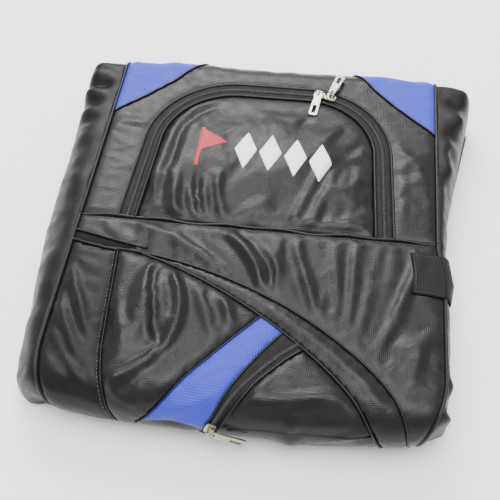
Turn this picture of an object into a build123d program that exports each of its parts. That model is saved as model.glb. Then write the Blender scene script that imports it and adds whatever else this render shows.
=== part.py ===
from build123d import *
import math
import os

os.makedirs("parts", exist_ok=True)

# Golf bag of coated nylon, folded flat in three layers.  Millimetres, +Z up, +X to the right,
# +Y towards the rear fold.  The origin is the middle of the footprint, on the surface it lies on.
# Layers from the ground up: base section, middle section, top section.

# ---------------------------------------------------------------- driving dimensions
PANEL_WIDTH = 344.0        # between the two side seams
PANEL_SHIFT = 2.0          # the panels sit a little to the right of the footprint's middle
FOOT_HALF_WIDTH = 218.0    # out to the edge of the side gussets
FOOT_HALF_LENGTH = 208.5   # out to the front and rear folds
STACK_HEIGHT = 60.0        # top face of the folded stack, without pockets
LAYER_HEIGHT = 18.5        # one section of the bag, with its padding
LAYER_GAP = 2.0            # air between two sections
CLOTH = 2.5                # a cloth wall as a plain solid
REAR_FOLD_RADIUS = 19.5    # outside of the fold between the top and middle sections
PANEL_CORNER = 12.0        # rounded corners of the flat panels
PADDING_INSET = 6.0        # padding stops short of the seams
BASE_GUSSET_WIDTH = 17.5   # how far the base section's side walls spread on the ground
MIDDLE_GUSSET_WIDTH = 7.5
MIDDLE_SETBACK = 20.0      # the middle section ends this far behind the front fold
SEAM_CORD_RADIUS = 1.1     # cord sewn into the side seams
TRIM_RADIUS = 1.6          # cord sewn round the pockets
TAPE_THICKNESS = 1.0       # woven zip tape
TAPE_WIDTH = 6.0           # one side of a zip
COIL_WIDTH = 3.6           # both rows of closed teeth
COIL_HEIGHT = 1.7
POCKET_HEIGHT = 2.5        # a pocket's face above the panel it is sewn to
FOOTPRINT_MIDDLE_Y = -5.1  # middle of the footprint, pulls included, in the drawing's own Y

# fold between the base and the top section
FOLD_RADIUS = STACK_HEIGHT / 2
FOLD_Y = -FOOT_HALF_LENGTH + FOLD_RADIUS
FOLD_BARE_ANGLE = 35.0     # arc of single cloth that bends when the fold opens, left without a solid
REAR_Y = FOOT_HALF_LENGTH - REAR_FOLD_RADIUS

# front face of the top section
X_LEFT = PANEL_SHIFT - PANEL_WIDTH / 2
X_RIGHT = PANEL_SHIFT + PANEL_WIDTH / 2
FACE = STACK_HEIGHT - 0.5  # outside of the main cloth, where pockets are sewn on
HEM_Y = -17.0              # seam between the upper and the lower front panel

# arched upper pocket
ARCH_TOP_Y = 166.0         # centre line of the zip along the top
ARCH_RADIUS = 84.0         # centre line of the zip round each shoulder
ARCH_LEFT_X = -35.0        # centre of the left shoulder
ARCH_RIGHT_X = 36.0        # centre of the right shoulder
ARCH_FOOT_SPREAD = 5.0     # how much the legs lean outward below the shoulders
ARCH_Y = ARCH_TOP_Y - ARCH_RADIUS
ZIP_HALF_BAND = 7.0        # half the distance between the two cords beside the zip
INSERT_CORNER = 72.0       # blue triangles beside the arch, along each edge
INSERT_THICKNESS = 0.8

# sewn-on decoration
BADGE_THICKNESS = 0.6
PENNANT = [(-68.0, 46.0), (-64.0, 46.0), (-64.0, 66.0), (-38.0, 80.0), (-64.0, 94.0), (-64.0, 99.0),
           (-68.0, 99.0)]
LOZENGE_COUNT = 4
LOZENGE_FIRST = (-19.0, 69.0)
LOZENGE_PITCH = 25.5
LOZENGE_HALF_WIDTH = 11.5
LOZENGE_HALF_HEIGHT = 24.0

# long curved gusset of the lower pockets
ARC_UPPER = [(-134.0, -61.0), (28.0, -100.0), (137.0, -178.0)]
ARC_LOWER = [(-104.0, -71.5), (20.0, -112.0), (97.0, -178.0)]

# diagonal zip and the blue band beside it
DIAG_TOP = (54.0, -134.0)
DIAG_FOOT = (14.5, -178.0)
BAND_TOP_LEFT = (14.0, -117.0)
BAND_TOP_RIGHT = (40.0, -127.0)
BAND_FOOT_LEFT = (-36.0, -178.0)
BAND_FOOT_RIGHT = (4.0, -178.0)
STRIP_X = -119.0           # stitched seam between the left pocket and the strip beside it
DIAG_COIL_LENGTH = 48.0
DIAG_COIL_SHIFT = 3.5      # the coil stops this far short of the zip's foot
GUSSET_START_X = -100.0    # left end of the curved gusset
SLIT_Y = (-57.0, -45.0)    # mouth of the small slit pocket
SLIT_THICKNESS = 0.8

# stitched square and webbing loop at the right seam
LOOP_Y = (-76.0, -32.0)
PATCH_THICKNESS = 2.0
PATCH_INNER_EDGE = 27.0    # from the seam
LOOP_SECTION = [(2.6, 0.2), (10.0, -4.0), (17.0, -14.0), (19.0, -14.0), (13.0, -3.0), (4.0, 2.5),
                (2.6, 2.5)]  # outward from the seam, and up from the face

# zip sliders
SLIDER_LENGTH = 12.0
SLIDER_WIDTH = 8.6
SLIDER_LIFT = 0.2          # running clearance over the teeth
SLIDER_THICKNESS = 1.4
CROWN_RISE = 8.0           # top of the loop that holds the pull, above the tape
CROWN_BAR = 1.2
RING_RADIUS = 3.2          # centre line of the wire ring between slider and pull
RING_WIRE = 0.5
TAB_LENGTH = 31.0
TAB_WIDTH = 10.0
TAB_THICKNESS = 1.5
TAB_DROOP = 5.0            # a pull's free end dips towards the cloth by this angle
LEFT_SLIDER_ANGLE = 9.0    # where each upper slider is parked, past the top of the right shoulder
RIGHT_SLIDER_ANGLE = 17.5
HELIX_SLOPE = 24.0         # angle between the diagonal zip and the fold's own direction
DIAG_SLIDER_ANGLE = 76.0   # how far round the front fold the diagonal slider is parked
DIAG_SLIDER_X = -13.0

PARTS = {}


# ---------------------------------------------------------------- helpers
def keep(name, *solids):
    """Store one named piece; several solids make one group."""
    PARTS[name] = solids[0] if len(solids) == 1 else Compound(children=list(solids))


def slab(x0, x1, y0, y1, z0, z1, corner=0.0):
    """A flat block between two corners, with its upright edges rounded."""
    block = Pos((x0 + x1) / 2, (y0 + y1) / 2, (z0 + z1) / 2) * Box(x1 - x0, y1 - y0, z1 - z0)
    if corner > 0:
        block = fillet(block.edges().filter_by(Axis.Z), corner)
    return block


def padding(front, z0, z1):
    """Foam inside a section, short of its seams."""
    return slab(X_LEFT + PADDING_INSET, X_RIGHT - PADDING_INSET, front + PADDING_INSET,
                REAR_Y - PADDING_INSET, z0, z1, PANEL_CORNER)


def plate(outline, z0, z1):
    """A flat piece of cloth with the given closed outline."""
    return extrude(Pos(0, 0, z0) * make_face(outline), z1 - z0)


def polygon(points):
    return Polyline(*points, close=True)


def cord(path, radius):
    """A round cord along a path."""
    return sweep(Plane(origin=path @ 0, z_dir=path % 0) * Circle(radius), path)


def fold_shell(centre_y, centre_z, radius, first, last, side, x0=X_LEFT, x1=X_RIGHT):
    """Cloth round a fold, from angle first to angle last, measured from straight up."""
    def at(r, angle):
        turn = math.radians(angle)
        return (centre_y + side * r * math.sin(turn), centre_z + r * math.cos(turn))

    middle = (first + last) / 2
    inner = radius - CLOTH
    outline = Polyline(at(radius, last), at(inner, last))
    outline += ThreePointArc(at(inner, last), at(inner, middle), at(inner, first))
    outline += Polyline(at(inner, first), at(radius, first))
    outline += ThreePointArc(at(radius, first), at(radius, middle), at(radius, last))
    section = Plane(origin=(x0, 0, 0), x_dir=(0, 1, 0), z_dir=(1, 0, 0)) * make_face(outline)
    return extrude(section, x1 - x0)


def arch_line(offset, z):
    """The upper pocket's outline, offset outward from the zip's centre line, open at the hem."""
    radius = ARCH_RADIUS + offset
    foot = ARCH_RADIUS + offset + ARCH_FOOT_SPREAD
    slant = radius * math.sin(math.radians(45))
    left_foot = Vector(ARCH_LEFT_X - foot, HEM_Y, z)
    left_shoulder = Vector(ARCH_LEFT_X - radius, ARCH_Y, z)
    left_middle = Vector(ARCH_LEFT_X - slant, ARCH_Y + slant, z)
    left_top = Vector(ARCH_LEFT_X, ARCH_Y + radius, z)
    right_top = Vector(ARCH_RIGHT_X, ARCH_Y + radius, z)
    right_middle = Vector(ARCH_RIGHT_X + slant, ARCH_Y + slant, z)
    right_shoulder = Vector(ARCH_RIGHT_X + radius, ARCH_Y, z)
    right_foot = Vector(ARCH_RIGHT_X + foot, HEM_Y, z)
    line = Line(left_foot, left_shoulder)
    line += ThreePointArc(left_shoulder, left_middle, left_top)
    line += Line(left_top, right_top)
    line += ThreePointArc(right_top, right_middle, right_shoulder)
    line += Line(right_shoulder, right_foot)
    return line, left_foot, right_foot


def arch_plate(offset, z0, z1):
    line, left_foot, right_foot = arch_line(offset, 0)
    return plate(line + Line(right_foot, left_foot), z0, z1)


def arch_ring(inner, outer, z0, z1):
    """A strip that runs round the arch between two offsets."""
    return arch_plate(outer, z0, z1) - arch_plate(inner, z0 - 1, z1 + 1)


def below(points, z0, z1):
    """Everything on the front panel below a curved line, down to the fold."""
    first, last = points[0], points[-1]
    outline = ThreePointArc(*points)
    outline += Polyline(last, (last[0], FOLD_Y - 1), (X_LEFT, FOLD_Y - 1), (X_LEFT, first[1]), first)
    return plate(outline, z0, z1) & slab(X_LEFT, X_RIGHT, FOLD_Y, HEM_Y - 5, z0, z1)


# ---------------------------------------------------------------- base section, on the ground
def base_section():
    keep("base_face_panel", slab(X_LEFT, X_RIGHT, FOLD_Y, REAR_Y, 0, CLOTH, PANEL_CORNER))
    keep("base_padding", padding(FOLD_Y, CLOTH, LAYER_HEIGHT - CLOTH))
    keep("base_lining_panel", slab(X_LEFT, X_RIGHT, FOLD_Y, REAR_Y,
                                   LAYER_HEIGHT - CLOTH, LAYER_HEIGHT, PANEL_CORNER))
    for side, name in ((-1, "left"), (1, "right")):
        edge = PANEL_SHIFT + side * PANEL_WIDTH / 2
        inner, outer = sorted((edge + side * 0.5, edge + side * (0.5 + BASE_GUSSET_WIDTH)))
        keep(f"base_{name}_gusset", slab(inner, outer, FOLD_Y, REAR_Y, 0, LAYER_HEIGHT - 5))
    keep("front_fold_lower", fold_shell(FOLD_Y, FOLD_RADIUS, FOLD_RADIUS, 90 + FOLD_BARE_ANGLE, 180, -1))


# ---------------------------------------------------------------- middle section, tucked in
def middle_section():
    z0 = LAYER_HEIGHT + LAYER_GAP
    z1 = z0 + LAYER_HEIGHT
    front = FOLD_Y + MIDDLE_SETBACK
    keep("middle_lining_panel", slab(X_LEFT, X_RIGHT, front, REAR_Y, z0, z0 + CLOTH, PANEL_CORNER))
    keep("middle_padding", padding(front, z0 + CLOTH, z1 - CLOTH))
    keep("middle_face_panel", slab(X_LEFT, X_RIGHT, front, REAR_Y, z1 - CLOTH, z1, PANEL_CORNER))
    for side, name in ((-1, "left"), (1, "right")):
        edge = PANEL_SHIFT + side * PANEL_WIDTH / 2
        inner, outer = sorted((edge + side * 0.5, edge + side * (0.5 + MIDDLE_GUSSET_WIDTH)))
        keep(f"middle_{name}_gusset", slab(inner, outer, front, REAR_Y, z0 + 2, z1 - 4))


# ---------------------------------------------------------------- top section: walls
def top_section():
    z0 = STACK_HEIGHT - LAYER_HEIGHT - 0.5
    keep("top_lining_panel", slab(X_LEFT, X_RIGHT, FOLD_Y, REAR_Y, z0, z0 + CLOTH, PANEL_CORNER))
    keep("top_padding", padding(FOLD_Y, z0 + CLOTH, FACE - CLOTH))
    keep("front_upper_panel", slab(X_LEFT, X_RIGHT, HEM_Y, REAR_Y, FACE - CLOTH, FACE))
    keep("front_lower_panel", slab(X_LEFT, X_RIGHT, FOLD_Y, HEM_Y, FACE - CLOTH, FACE))
    keep("front_fold_upper", fold_shell(FOLD_Y, FOLD_RADIUS, FOLD_RADIUS - 0.5, 0, 89, -1))
    fold_z = STACK_HEIGHT - REAR_FOLD_RADIUS - 0.5
    keep("rear_fold", fold_shell(REAR_Y, fold_z, REAR_FOLD_RADIUS, 0, 180, 1))
    for side, name in ((-1, "left"), (1, "right")):
        edge = PANEL_SHIFT + side * PANEL_WIDTH / 2
        foot = side * FOOT_HALF_WIDTH
        seam_x = edge + side * 2.6
        line = Line((edge + side * 0.2, FOLD_Y, FACE + 1.2), (edge + side * 0.2, REAR_Y, FACE + 1.2))
        keep(f"{name}_piping", cord(line, SEAM_CORD_RADIUS))
        sheet = polygon([(seam_x, FACE - 1), (foot - side * 1, 5), (foot, 3), (foot, 0),
                         (foot - side * 4, 0), (foot - side * 4, 3), (seam_x, FACE - 5)])
        section = Plane(origin=(0, REAR_Y, 0), x_dir=(1, 0, 0), z_dir=(0, -1, 0)) * make_face(sheet)
        keep(f"{name}_gusset", extrude(section, REAR_Y - FOLD_Y))


# ---------------------------------------------------------------- top section: upper pocket and trim
def upper_pocket():
    z0 = FACE
    for side, name in ((-1, "left"), (1, "right")):
        edge = PANEL_SHIFT + side * PANEL_WIDTH / 2
        triangle = polygon([(edge - side * 3, REAR_Y), (edge - side * 3, REAR_Y - INSERT_CORNER),
                            (edge - side * INSERT_CORNER, REAR_Y)])
        keep(f"blue_insert_{name}", plate(triangle, z0, z0 + INSERT_THICKNESS))
    tape = COIL_WIDTH / 2 + TAPE_WIDTH - 2
    face_edge = -ZIP_HALF_BAND - TRIM_RADIUS * 2 - 0.1
    keep("upper_pocket_face", arch_plate(face_edge, z0, z0 + POCKET_HEIGHT))
    keep("upper_zip_inner_tape", arch_ring(-tape, 0, z0, z0 + TAPE_THICKNESS))
    keep("upper_zip_outer_tape", arch_ring(0, tape, z0, z0 + TAPE_THICKNESS))
    teeth = COIL_WIDTH / 2
    keep("upper_zip_coil", arch_ring(-teeth, teeth, z0 + TAPE_THICKNESS,
                                     z0 + TAPE_THICKNESS + COIL_HEIGHT))
    inner_line, _, _ = arch_line(-ZIP_HALF_BAND - TRIM_RADIUS, z0 + TRIM_RADIUS)
    outer_line, _, _ = arch_line(ZIP_HALF_BAND + TRIM_RADIUS, z0 + TRIM_RADIUS)
    keep("upper_pocket_inner_cord", cord(inner_line, TRIM_RADIUS))
    keep("upper_pocket_outer_cord", cord(outer_line, TRIM_RADIUS))
    keep("hem_binding", slab(X_LEFT + 4, X_RIGHT - 4, HEM_Y - 4, HEM_Y - 0.2, z0, z0 + POCKET_HEIGHT))


def badge():
    """Sewn-on decoration: a pennant and a row of four lozenges."""
    z0 = FACE + POCKET_HEIGHT
    z1 = z0 + BADGE_THICKNESS
    keep("badge_pennant", plate(polygon(PENNANT), z0, z1))
    lozenges = []
    for index in range(LOZENGE_COUNT):
        cx = LOZENGE_FIRST[0] + index * LOZENGE_PITCH
        cy = LOZENGE_FIRST[1]
        outline = polygon([(cx - LOZENGE_HALF_WIDTH, cy), (cx, cy - LOZENGE_HALF_HEIGHT),
                           (cx + LOZENGE_HALF_WIDTH, cy), (cx, cy + LOZENGE_HALF_HEIGHT)])
        lozenges.append(plate(outline, z0, z1))
    keep("badge_lozenges", *lozenges)


# ---------------------------------------------------------------- top section: lower pockets
def lower_pockets():
    z0 = FACE
    z1 = FACE + POCKET_HEIGHT
    gusset = below(ARC_UPPER, z0, z1) - below(ARC_LOWER, z0 - 1, z1 + 1)
    keep("curved_gusset", gusset & slab(GUSSET_START_X, X_RIGHT, FOLD_Y, HEM_Y, z0, z1))
    for name, points in (("upper", ARC_UPPER), ("lower", ARC_LOWER)):
        line = ThreePointArc(*[(x, y, z1 + TRIM_RADIUS) for x, y in points])
        keep(f"curved_gusset_{name}_cord", cord(line, TRIM_RADIUS))
    zone = below(ARC_LOWER, z0, z1)
    past_fold = FOLD_Y - 7
    band = polygon([BAND_TOP_LEFT, BAND_TOP_RIGHT, BAND_FOOT_RIGHT, (BAND_FOOT_RIGHT[0], past_fold),
                    (BAND_FOOT_LEFT[0], past_fold), BAND_FOOT_LEFT])
    keep("blue_band", zone & plate(band, z0, z1))
    tape = polygon([BAND_TOP_RIGHT, DIAG_TOP, DIAG_FOOT, (DIAG_FOOT[0], past_fold),
                    (BAND_FOOT_RIGHT[0], past_fold), BAND_FOOT_RIGHT])
    keep("diagonal_zip_tape", zone & plate(tape, z0, z0 + TAPE_THICKNESS))
    slope = math.degrees(math.atan2(DIAG_TOP[1] - DIAG_FOOT[1], DIAG_TOP[0] - DIAG_FOOT[0]))
    middle_x = (DIAG_TOP[0] + DIAG_FOOT[0]) / 2 - DIAG_COIL_SHIFT
    middle_y = (DIAG_TOP[1] + DIAG_FOOT[1]) / 2 + DIAG_COIL_SHIFT
    middle_z = z0 + TAPE_THICKNESS + COIL_HEIGHT / 2
    teeth = Box(DIAG_COIL_LENGTH, COIL_WIDTH, COIL_HEIGHT)
    keep("diagonal_zip_coil", Pos(middle_x, middle_y, middle_z) * Rot(0, 0, slope) * teeth)
    left_zone = zone & slab(STRIP_X, X_RIGHT, FOLD_Y, HEM_Y, z0 - 1, z1 + 1)
    right_of_band = polygon([BAND_TOP_LEFT, (X_RIGHT, BAND_TOP_LEFT[1]), (X_RIGHT, past_fold),
                             (BAND_FOOT_LEFT[0], past_fold), BAND_FOOT_LEFT])
    keep("left_pocket_face", left_zone - plate(right_of_band, z0 - 1, z1 + 1))
    keep("left_strip", zone & slab(X_LEFT + 4, STRIP_X, FOLD_Y, HEM_Y, z0 - 1, z1 + 1))
    right_zone = polygon([DIAG_TOP, (X_RIGHT, DIAG_TOP[1]), (X_RIGHT, past_fold),
                          (DIAG_FOOT[0], past_fold), DIAG_FOOT])
    keep("lower_pocket_face", zone & plate(right_zone, z0, z1))
    keep("slit_pocket_lining", slab(X_LEFT + 6, STRIP_X, *SLIT_Y, z0, z0 + SLIT_THICKNESS))


def side_loop():
    """Stitched square that anchors a short webbing loop at the right seam."""
    z0 = FACE
    keep("loop_anchor_patch", slab(X_RIGHT - PATCH_INNER_EDGE, X_RIGHT - 0.6 - TRIM_RADIUS, *LOOP_Y,
                                   z0, z0 + PATCH_THICKNESS, 2))
    outline = polygon([(X_RIGHT + out, z0 + rise) for out, rise in LOOP_SECTION])
    section = Plane(origin=(0, LOOP_Y[1], 0), x_dir=(1, 0, 0), z_dir=(0, -1, 0)) * make_face(outline)
    keep("side_loop", extrude(section, LOOP_Y[1] - LOOP_Y[0]))


# ---------------------------------------------------------------- zip sliders and pulls
def slider_body():
    """Slider about its own origin: zip along X, tape's top at z = 0."""
    low = COIL_HEIGHT + SLIDER_LIFT
    top = low + SLIDER_THICKNESS
    outline = polygon([(-6, -3.1), (-3, -SLIDER_WIDTH / 2), (4.5, -SLIDER_WIDTH / 2), (6, -3.4),
                       (6, 3.4), (4.5, SLIDER_WIDTH / 2), (-3, SLIDER_WIDTH / 2), (-6, 3.1)])
    cover = plate(outline, low, top)
    cover = chamfer(cover.faces().sort_by(Axis.Z)[-1].edges(), 0.5)
    half = SLIDER_LENGTH / 2 - 1.2
    arch = Polyline((-half, top - 0.2), (-half, CROWN_RISE - 1.6), (-half + 1.8, CROWN_RISE),
                    (half - 1.8, CROWN_RISE), (half, CROWN_RISE - 1.6), (half, top - 0.2),
                    (half - CROWN_BAR, top - 0.2), (half - CROWN_BAR, CROWN_RISE - 1.9),
                    (half - 2.3, CROWN_RISE - CROWN_BAR), (-half + 2.3, CROWN_RISE - CROWN_BAR),
                    (-half + CROWN_BAR, CROWN_RISE - 1.9), (-half + CROWN_BAR, top - 0.2), close=True)
    crown_face = Plane(origin=(0, CROWN_BAR / 2, 0), x_dir=(1, 0, 0), z_dir=(0, -1, 0)) * make_face(arch)
    crown = extrude(crown_face, CROWN_BAR)
    return cover + crown


def ring_place():
    """Centre of the wire ring, which hangs on the slider's crown towards -Y."""
    return (0.0, -1.75, CROWN_RISE - 0.85)


def pull_ring():
    centre = ring_place()
    return Pos(*centre) * Rot(0, 90, 0) * Torus(RING_RADIUS, RING_WIRE)


def pull_tab():
    """Flat pull with a round eye at the ring and a long slot near its free end."""
    narrow = TAB_WIDTH * 0.34
    half = TAB_WIDTH / 2
    body = polygon([(-narrow, 0), (narrow, 0), (half * 0.8, -6), (half, -TAB_LENGTH + 2),
                    (half - 1.6, -TAB_LENGTH), (-half + 1.6, -TAB_LENGTH), (-half, -TAB_LENGTH + 2),
                    (-half * 0.8, -6)])
    tab = plate(body, -TAB_THICKNESS / 2, TAB_THICKNESS / 2)
    eye = Pos(0, -2.6, 0) * Cylinder(1.2, TAB_THICKNESS * 2)
    slot = Pos(0, -TAB_LENGTH + 8.5, 0) * Box(3.6, 10, TAB_THICKNESS * 2)
    tab = tab - eye - slot
    tab = chamfer(tab.faces().sort_by(Axis.Z)[-1].edges(), 0.3)
    centre = ring_place()
    eye_y = centre[1] - RING_RADIUS
    return Pos(0, eye_y, centre[2]) * Rot(TAB_DROOP, 0, 0) * Pos(0, 2.6, 0) * tab


def park(place, name, flipped=False):
    """Put a slider, its ring and its pull where they are parked on a zip."""
    turn = Rot(0, 0, 180) if flipped else Rot(0, 0, 0)
    keep(f"{name}_slider", place * turn * slider_body())
    keep(f"{name}_pull_ring", place * turn * pull_ring())
    keep(f"{name}_pull", place * turn * pull_tab())


def shoulder_place(angle):
    """A point of the upper zip on the right shoulder, angle degrees past the top."""
    turn = math.radians(angle)
    x = ARCH_RIGHT_X + ARCH_RADIUS * math.sin(turn)
    y = ARCH_Y + ARCH_RADIUS * math.cos(turn)
    return Pos(x, y, FACE + TAPE_THICKNESS) * Rot(0, 0, -angle)


def fold_place():
    """The diagonal slider's place on the front fold, its travel up and to the right."""
    turn = math.radians(DIAG_SLIDER_ANGLE)
    radius = FOLD_RADIUS + 1.2
    out = Vector(0, -math.sin(turn), math.cos(turn))
    up = Vector(0, math.cos(turn), math.sin(turn))
    slope = math.radians(HELIX_SLOPE)
    travel = Vector(1, 0, 0) * math.sin(slope) + up * math.cos(slope)
    where = Vector(DIAG_SLIDER_X, FOLD_Y, FOLD_RADIUS) + out * radius
    return Plane(origin=where, x_dir=travel, z_dir=out)


def sliders():
    park(shoulder_place(LEFT_SLIDER_ANGLE), "upper_left")
    park(shoulder_place(RIGHT_SLIDER_ANGLE), "upper_right", flipped=True)
    park(fold_place().location, "diagonal")


base_section()
middle_section()
top_section()
upper_pocket()
badge()
lower_pockets()
side_loop()
sliders()

for node, shape in PARTS.items():
    export_step(Pos(0, -FOOTPRINT_MIDDLE_Y, 0) * shape, f"parts/{node}.step")
print(len(PARTS), "pieces")
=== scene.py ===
import math

import bpy
import numpy as np
from mathutils import Matrix, Vector, noise
from mathutils.geometry import delaunay_2d_cdt


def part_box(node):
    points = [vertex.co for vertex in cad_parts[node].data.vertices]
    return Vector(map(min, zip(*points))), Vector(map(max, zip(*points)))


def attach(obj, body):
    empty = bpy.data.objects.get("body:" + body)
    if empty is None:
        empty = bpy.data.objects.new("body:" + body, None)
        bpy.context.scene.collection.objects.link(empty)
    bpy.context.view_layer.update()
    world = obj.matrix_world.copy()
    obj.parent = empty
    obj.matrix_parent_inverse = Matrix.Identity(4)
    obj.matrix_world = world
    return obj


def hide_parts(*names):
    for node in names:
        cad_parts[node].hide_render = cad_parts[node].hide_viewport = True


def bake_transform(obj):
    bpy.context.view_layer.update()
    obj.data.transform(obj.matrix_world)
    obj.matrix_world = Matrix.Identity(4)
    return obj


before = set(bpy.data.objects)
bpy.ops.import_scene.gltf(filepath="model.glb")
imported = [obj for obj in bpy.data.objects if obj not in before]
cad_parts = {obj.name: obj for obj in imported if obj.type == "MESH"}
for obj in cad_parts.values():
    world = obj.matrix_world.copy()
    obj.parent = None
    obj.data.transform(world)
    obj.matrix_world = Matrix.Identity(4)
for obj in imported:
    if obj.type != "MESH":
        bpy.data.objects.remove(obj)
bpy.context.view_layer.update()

# Cloth is drawn flat, in pattern coordinates in millimetres: x across the bag and s along its face.
# s is the frame's Y on the flat face, and runs on round the front fold and the rear fold.
# h is the height above the face.  place() turns (x, s, h) into a point of the frame.

MM = 0.001


def box_mm(node):
    low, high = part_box(node)
    return np.array(low) / MM, np.array(high) / MM


# ------------------------------------------------------------------ places taken from the frame
UPPER_LOW, UPPER_HIGH = box_mm("front_upper_panel")
X_LEFT, X_RIGHT = UPPER_LOW[0], UPPER_HIGH[0]
X_MIDDLE = (X_LEFT + X_RIGHT) / 2
HEM, REAR, FACE = UPPER_LOW[1], UPPER_HIGH[1], UPPER_HIGH[2]
FOLD = box_mm("front_lower_panel")[0][1]
ROLL = FOLD - box_mm("front_fold_upper")[0][1]
ROLL_Z = FACE - ROLL
REAR_ROLL = box_mm("rear_fold")[1][1] - REAR
REAR_ROLL_Z = FACE - REAR_ROLL
FRONT_END = FOLD - math.pi * ROLL
REAR_END = REAR + math.pi * REAR_ROLL
ZIP_FACE = box_mm("upper_zip_coil")
ARCH_TOP = ZIP_FACE[1][1] - 1.8          # centre line of the upper zip
ARCH_RADIUS = 84.0                       # centre line of the upper zip round each shoulder
ARCH_LEFT, ARCH_RIGHT = -35.0, 36.0      # centres of the shoulders
ARCH_LEAN = 5.0                          # the legs lean outward by this much
PIPING_GAP = 8.6                         # from the upper zip to the piping on either side
INSERT = 72.0                            # blue triangles, along the side seam
ZIP_ANGLE = math.radians(24)             # the diagonal zip on the front fold, from the fold's own direction
BASE_TOP = box_mm("base_lining_panel")[1][2]
MIDDLE_LOW, MIDDLE_HIGH = box_mm("middle_lining_panel")[0], box_mm("middle_face_panel")[1]
TOP_LOW = box_mm("top_lining_panel")[0]

FOLD_STRENGTH = 1.25        # all fold heights are scaled by this
SIM_SCALE = 0.01            # one unit of the cloth simulation is 100 mm
SIM_FRAMES = 16
SIM_GROUND = -0.012         # the cloth comes to rest on this level
GRID = 4.0                  # spacing of the simulated cloth
CELL = 3.4                  # spacing of the panels' own vertices
CLOTH = 0.8                 # thickness of a modelled cloth wall
POCKET = 2.2                # height of a pocket's face at its middle
SINK = 0.35                 # how far a seam is pulled into the face
STITCH = {"pitch": 3.4, "long": 2.5, "wide": 0.5}
SEAM_SPREAD = 6.0           # the face reaches further right below the hem
CORNER_RETREAT = 9.0        # the front fold is pulled back at its two corners


# ------------------------------------------------------------------ lines
def smooth(points, step=3.0):
    """A smooth line through the given points, sampled evenly (Catmull-Rom)."""
    p = np.array(points, float)
    p = np.vstack([2 * p[0] - p[1], p, 2 * p[-1] - p[-2]])
    out = []
    for i in range(1, len(p) - 2):
        count = max(2, int(np.linalg.norm(p[i + 1] - p[i]) / step))
        for k in range(count):
            t = k / count
            out.append(0.5 * (2 * p[i] + (p[i + 1] - p[i - 1]) * t
                              + (2 * p[i - 1] - 5 * p[i] + 4 * p[i + 1] - p[i + 2]) * t * t
                              + (3 * p[i] - p[i - 1] - 3 * p[i + 1] + p[i + 2]) * t ** 3))
    out.append(p[-2])
    return np.array(out)


def resample(line, step):
    line = np.asarray(line, float)
    lengths = np.r_[0, np.cumsum(np.linalg.norm(np.diff(line, axis=0), axis=1))]
    count = max(2, int(round(lengths[-1] / step)) + 1)
    at = np.linspace(0, lengths[-1], count)
    return np.column_stack([np.interp(at, lengths, line[:, i]) for i in range(line.shape[1])])


def between(line, x0, x1):
    """The part of a line whose x runs from x0 to x1, in that order."""
    line = line[np.argsort(line[:, 0])]
    inside = line[(line[:, 0] > min(x0, x1)) & (line[:, 0] < max(x0, x1))]
    ends = [(x, np.interp(x, line[:, 0], line[:, 1])) for x in (min(x0, x1), max(x0, x1))]
    stretch = np.vstack([ends[0], inside, ends[1]])
    return stretch if x1 > x0 else stretch[::-1]


def shift(line, amount):
    """The line moved sideways, to the left of its direction when amount is positive."""
    tangent = np.gradient(line, axis=0)
    tangent /= np.linalg.norm(tangent, axis=1)[:, None]
    return line + amount * np.column_stack([-tangent[:, 1], tangent[:, 0]])


def arch(offset):
    """The upper pocket's line, offset outward from its zip, from the left foot to the right foot."""
    radius = ARCH_RADIUS + offset
    centre_s = ARCH_TOP - ARCH_RADIUS
    points = [(ARCH_LEFT - radius - ARCH_LEAN, HEM)]
    for centre_x, first in ((ARCH_LEFT, math.pi), (ARCH_RIGHT, math.pi / 2)):
        for a in np.linspace(first, first - math.pi / 2, 25):
            points.append((centre_x + radius * math.cos(a), centre_s + radius * math.sin(a)))
    points.append((ARCH_RIGHT + radius + ARCH_LEAN, HEM))
    return resample(points, 3.0)


def straight(a, b, step=3.0):
    return resample([a, b], step)


def distance_to(points, line):
    """Distance of each point from a line of segments."""
    best = np.full(len(points), 1e9)
    for a, b in zip(line[:-1], line[1:]):
        d = b - a
        t = np.clip(((points - a) @ d) / max(d @ d, 1e-9), 0, 1)
        gap = np.hypot(*(points - (a + t[:, None] * d)).T)
        best = np.minimum(best, gap)
    return best


def curve(start, leave, arrive, end):
    """A curve between two points that leaves and arrives along its two handles (Bezier)."""
    t = np.linspace(0, 1, 60)[:, None]
    start, leave, arrive, end = (np.array(p, float) for p in (start, leave, arrive, end))
    line = (1 - t) ** 3 * start + 3 * (1 - t) ** 2 * t * leave + 3 * (1 - t) * t ** 2 * arrive + t ** 3 * end
    return resample(line, 3.0)


def along(line, share):
    """The point a share of the way along a line."""
    lengths = np.r_[0, np.cumsum(np.linalg.norm(np.diff(line, axis=0), axis=1))]
    return np.array([np.interp(share * lengths[-1], lengths, line[:, i]) for i in range(2)])


def part(line, first, last):
    """The stretch of a line between two shares of its length."""
    return np.array([along(line, share) for share in np.linspace(first, last, 24)])


def polygon(points, step=2.0):
    """A closed outline with straight sides."""
    return ring_outline(resample(list(points) + [points[0]], step), step=step)


def corners(x0, s0, x1, s1):
    return [(x0, s0), (x1, s0), (x1, s1), (x0, s1)]


def at_x(line, x):
    return (x, np.interp(x, line[:, 0], line[:, 1]))


# ------------------------------------------------------------------ seams, in pattern coordinates
CUT = FRONT_END + 14                     # the pockets end here, under the front fold
SLIT = HEM - 38                          # mouth of the small slit pocket
BAND_LEFT_X, BAND_RIGHT_X, TAPE_X = 19, 40, 58    # where the blue band and the zip leave the gusset
BAND_FOOT = FOLD - 48

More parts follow.
